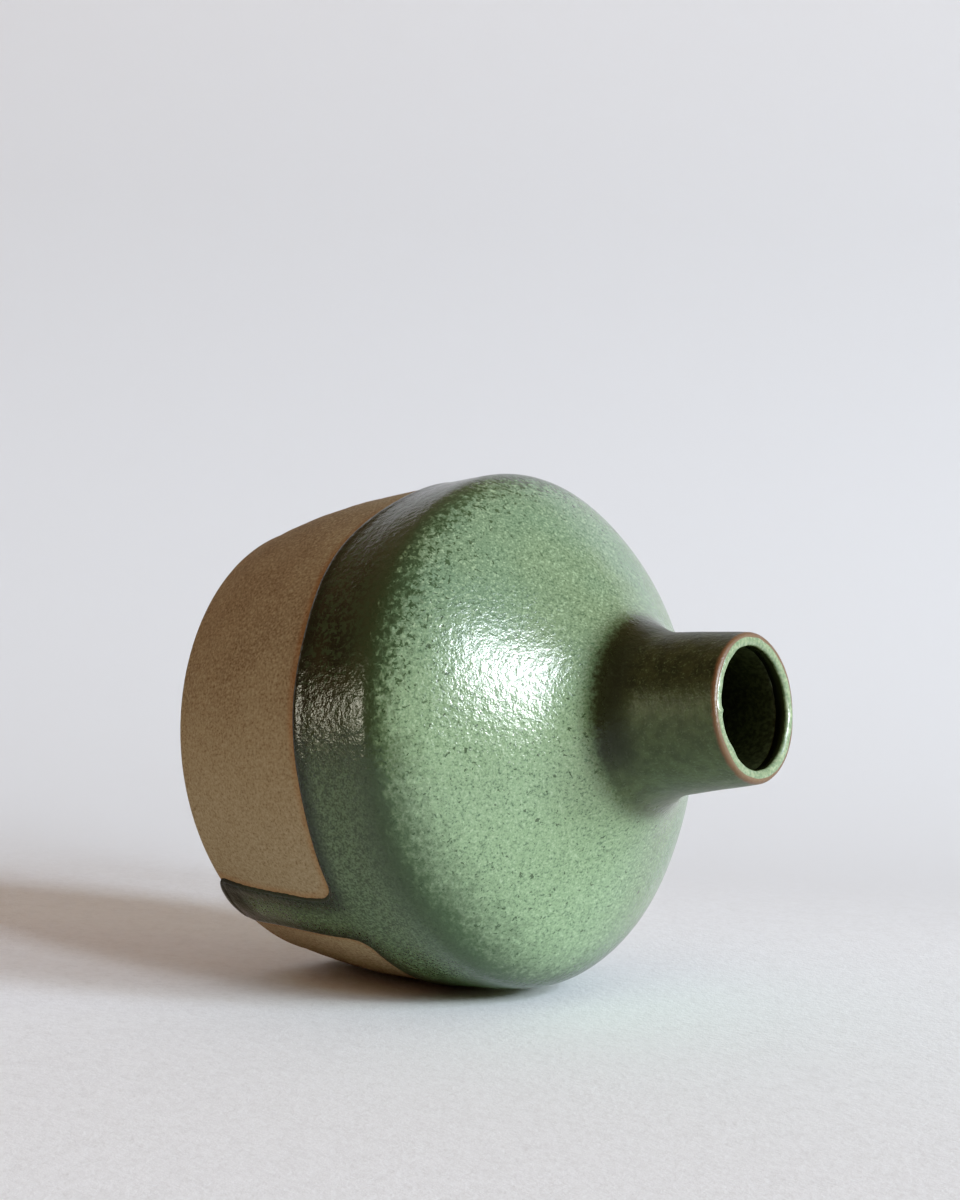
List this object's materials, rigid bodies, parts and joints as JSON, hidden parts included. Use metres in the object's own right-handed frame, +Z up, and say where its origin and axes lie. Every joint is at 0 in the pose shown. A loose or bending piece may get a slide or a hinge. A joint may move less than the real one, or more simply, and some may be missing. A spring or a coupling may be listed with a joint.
{
  "type": "bud vase",
  "caption": "Round-shouldered stoneware bud vase with a short tapering neck, green glaze dipped to above a bare clay foot, and one long glaze drip.",
  "frame": {"origin": "centre of the flat foot, on the surface the vase stands on", "axes": "+Z up the turning axis, from the foot to the mouth; -Y is the side that faces up while the vase lies on its side as pictured; the drip is at 129 degrees from -Y towards +X"},
  "size_m": [0.1, 0.1, 0.1044],
  "materials": {
    "stoneware": "bare fired clay, matte, fine speckle",
    "green_glaze": "satin green glaze, speckled, darker at the dip line",
    "drip_glaze": "thick dark green glaze, glossy",
    "lip_glaze": "thin pale green glaze, rust-brown at the edge",
    "liner_glaze": "dark olive lining glaze, satin"
  },
  "bodies": {
    "root": {"clay_body": "stoneware", "clay_neck": "stoneware", "outer_glaze": "green_glaze", "glaze_drip": "drip_glaze", "lip_glaze": "lip_glaze", "liner_glaze": "liner_glaze"}
  },
  "joints": []
}
